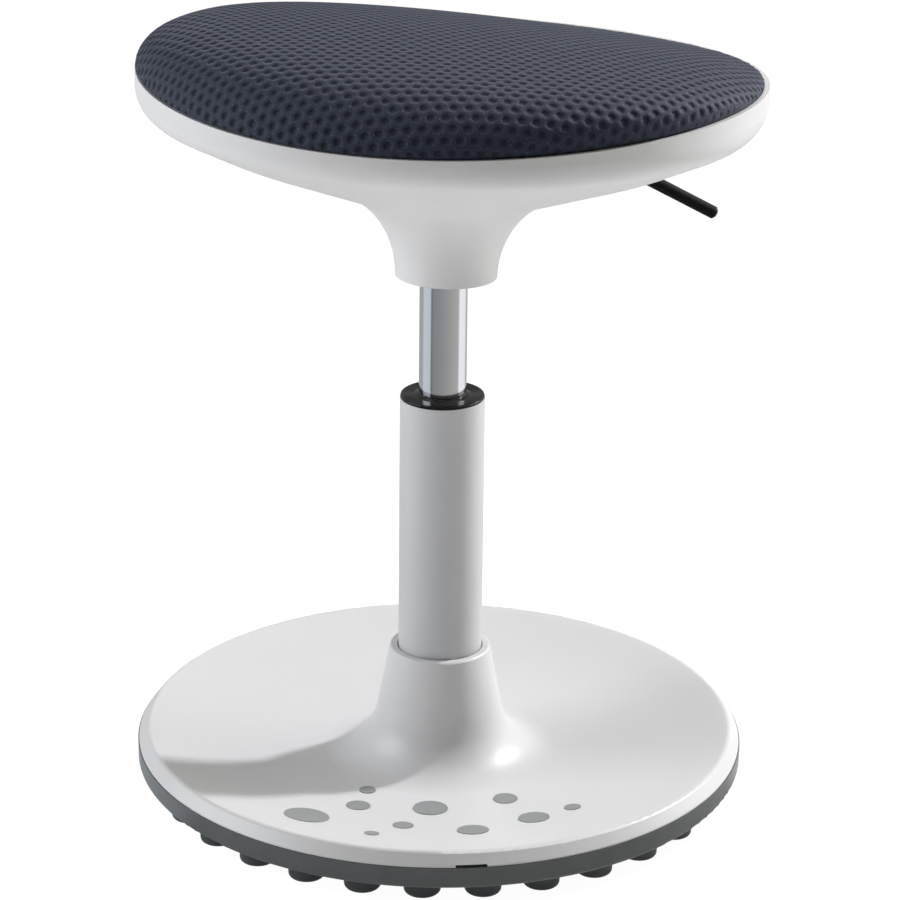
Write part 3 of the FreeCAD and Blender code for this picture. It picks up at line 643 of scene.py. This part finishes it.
plain_card = (1, 1, 1)
warm_card = (1.03, 1, 0.97)
cool_card = (0.92, 0.98, 1.06)
panels = [(0, 0.42, plain_card), (34, 0.45, plain_card), (54, 1.0, plain_card), (94, 1.05, plain_card),
          (102, 0.48, warm_card), (150, 0.38, warm_card), (190, 0.31, plain_card), (230, 0.27, plain_card),
          (235, 0.17, plain_card), (238, 0.17, cool_card), (243, 0.66, cool_card), (284, 0.70, cool_card),
          (296, 0.42, plain_card), (360, 0.42, plain_card)]
white = (1, 1, 1, 1)
floor_reach = 6
floor_grey = (0.8, 0.8, 0.8, 1)
floor_glow = 0.97
shadow_grey = (0.12, 0.12, 0.12, 1)
near_radius = 0.22
far_radius = 0.6
sent_near = 0.1
sent_far = 0.345
room_light = 0.01


def panel_light(tree, source):
    """Colour and brightness of the panels by the heading of a place or direction."""
    split = add(tree, "ShaderNodeSeparateXYZ", {0: source}).outputs
    turn = add(tree, "ShaderNodeMath", {0: split["X"], 1: split["Y"]}, operation="ARCTAN2").outputs[0]
    round_once = {0: turn, 1: 1 / math.tau, 2: 1.0}
    share = add(tree, "ShaderNodeMath", round_once, operation="MULTIPLY_ADD").outputs[0]
    share = add(tree, "ShaderNodeMath", {0: share}, operation="FRACT").outputs[0]
    ramp = add(tree, "ShaderNodeValToRGB", {"Fac": share})
    stops = ramp.color_ramp.elements
    while len(stops) < len(panels):
        stops.new(0.5)
    for stop, (heading, light, card) in zip(stops, panels):
        stop.position = heading / full_turn
        stop.color = [light * part for part in card] + [1]
    return ramp.outputs["Color"]


def by_ray(tree, usual, shown, mirrored):
    """Surface that looks as shown to the camera, as mirrored to mirror rays and as usual to the others."""
    path = add(tree, "ShaderNodeLightPath").outputs
    straight = {0: path["Is Camera Ray"], 1: path["Is Transmission Ray"]}
    seen = add(tree, "ShaderNodeMath", straight, operation="MAXIMUM").outputs[0]
    mixed = add(tree, "ShaderNodeMixShader", {0: seen, 1: usual, 2: shown}).outputs[0]
    return add(tree, "ShaderNodeMixShader", {0: path["Is Glossy Ray"], 1: mixed, 2: mirrored}).outputs[0]


floor_mesh = bpy.data.meshes.new("floor")
floor_corners = [(-floor_reach, -floor_reach, 0), (floor_reach, -floor_reach, 0),
                 (floor_reach, floor_reach, 0), (-floor_reach, floor_reach, 0)]
floor_mesh.from_pydata(floor_corners, [], [(0, 1, 2, 3)])
floor = bpy.data.objects.new("floor", floor_mesh)
bpy.context.scene.collection.objects.link(floor)
pale_floor, tree, shader, place = blank("pale floor", Roughness=0.9, Base_Color=floor_grey)
glow = add(tree, "ShaderNodeEmission", {"Color": white, "Strength": floor_glow})
matt = add(tree, "ShaderNodeBsdfDiffuse", {"Color": shadow_grey})
shown = add(tree, "ShaderNodeAddShader", {0: glow.outputs[0], 1: matt.outputs[0]})
panel = add(tree, "ShaderNodeEmission", {"Color": panel_light(tree, place), "Strength": 1.0})
away = add(tree, "ShaderNodeVectorMath", {0: place}, operation="LENGTH").outputs["Value"]
fade = {"Value": away, "From Min": near_radius, "From Max": far_radius,
        "To Min": sent_near, "To Max": sent_far}
sent_up = add(tree, "ShaderNodeMapRange", fade, interpolation_type="SMOOTHSTEP").outputs["Result"]
lit_floor = add(tree, "ShaderNodeEmission", {"Color": white, "Strength": sent_up})
upward = add(tree, "ShaderNodeAddShader", {0: shader.outputs[0], 1: lit_floor.outputs[0]})
surface = by_ray(tree, upward.outputs[0], shown.outputs[0], panel.outputs[0])
tree.links.new(surface, tree.nodes["Material Output"].inputs["Surface"])
floor.data.materials.append(pale_floor)

lamp_aim = Vector((0, 0, 0.2))


def lamp(name, bearing, rise, distance, size, power, tint):
    """Rectangular soft lamp at a heading and a rise from the stool, aimed at it."""
    data = bpy.data.lights.new(name, "AREA")
    data.shape = "RECTANGLE"
    data.size, data.size_y = size
    data.energy = power
    data.color = tint
    light = bpy.data.objects.new(name, data)
    bearing, rise = math.radians(bearing), math.radians(rise)
    away = Vector((math.sin(bearing) * math.cos(rise), math.cos(bearing) * math.cos(rise), math.sin(rise)))
    light.location = lamp_aim + away * distance
    light.rotation_euler = away.to_track_quat("Z", "Y").to_euler()
    bpy.context.scene.collection.objects.link(light)


lamp("key", bearing=60.6, rise=35, distance=2.2, size=(0.15, 0.15), power=43, tint=(0.97, 0.96, 1.0))
lamp("overhead", bearing=0, rise=90, distance=1.6, size=(1.6, 1.6), power=9.6, tint=(1.0, 0.99, 0.88))
lamp("left fill", bearing=265, rise=22, distance=1.6, size=(1.2, 1.0), power=15.5, tint=(0.94, 0.955, 1.0))
lamp("right fill", bearing=73, rise=20, distance=1.8, size=(1.2, 0.8), power=7.6, tint=(1.0, 0.99, 0.92))

world = bpy.data.worlds.new("studio")
bpy.context.scene.world = world
world.use_nodes = True
tree = world.node_tree
direction = add(tree, "ShaderNodeTexCoord").outputs["Generated"]
around = tree.nodes["Background"]
around.inputs["Color"].default_value = white
around.inputs["Strength"].default_value = room_light
plain = add(tree, "ShaderNodeBackground", {"Color": white, "Strength": 1.0})
panel = add(tree, "ShaderNodeBackground", {"Color": panel_light(tree, direction), "Strength": 1.0})
surface = by_ray(tree, around.outputs[0], plain.outputs[0], panel.outputs[0])
tree.links.new(surface, tree.nodes["World Output"].inputs["Surface"])


# Camera
# A long lens in front of the stool and above its seat, looking down on it as in the photograph.
# It is tilted by two thirds of a degree and turned by a seventh of one.

camera_place = (0, -1.90498, 0.92484)
camera_dip = 0.361203
camera_turn = -0.0025
camera_tilt = 0.01125

lens = bpy.data.cameras.new("camera")
lens.sensor_width = 36
lens.lens = 138.03
lens.clip_end = 30
camera = bpy.data.objects.new("camera", lens)
camera.matrix_world = (Matrix.Translation(camera_place) @ Matrix.Rotation(camera_turn, 4, "Z")
                       @ Matrix.Rotation(math.pi / 2 - camera_dip, 4, "X")
                       @ Matrix.Rotation(camera_tilt, 4, "Z"))
bpy.context.scene.collection.objects.link(camera)
bpy.context.scene.camera = camera
bpy.context.scene.view_settings.view_transform = "Standard"
